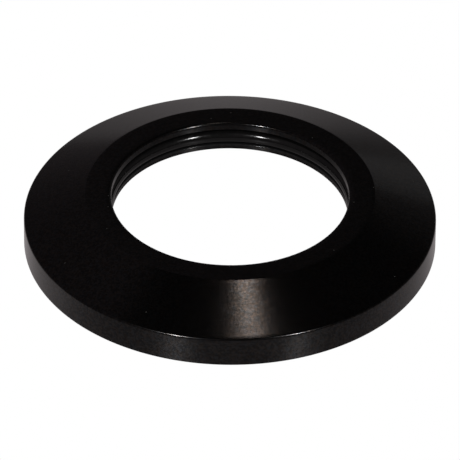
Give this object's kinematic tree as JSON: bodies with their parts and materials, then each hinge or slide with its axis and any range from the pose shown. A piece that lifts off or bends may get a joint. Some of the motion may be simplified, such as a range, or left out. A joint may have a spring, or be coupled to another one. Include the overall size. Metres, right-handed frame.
{
  "type": "bottom bracket bearing cover",
  "caption": "Round conical bearing cover with an O-ring in its bore; slides on a 30 mm axle outside an oversize bottom bracket bearing.",
  "frame": {"origin": "on the bore axis, in the plane of the foot of the rim", "axes": "+Z along the bore axis, from the bearing side towards the crank"},
  "size_m": [0.0524, 0.0524, 0.0075],
  "materials": {
    "black_anodised_aluminium": "satin black anodised, turned, with fine machining marks",
    "o_ring_rubber": "smooth black rubber with a light film of grease"
  },
  "bodies": {
    "root": {"cover_shell": "black_anodised_aluminium", "axle_o_ring": "o_ring_rubber"}
  },
  "joints": []
}
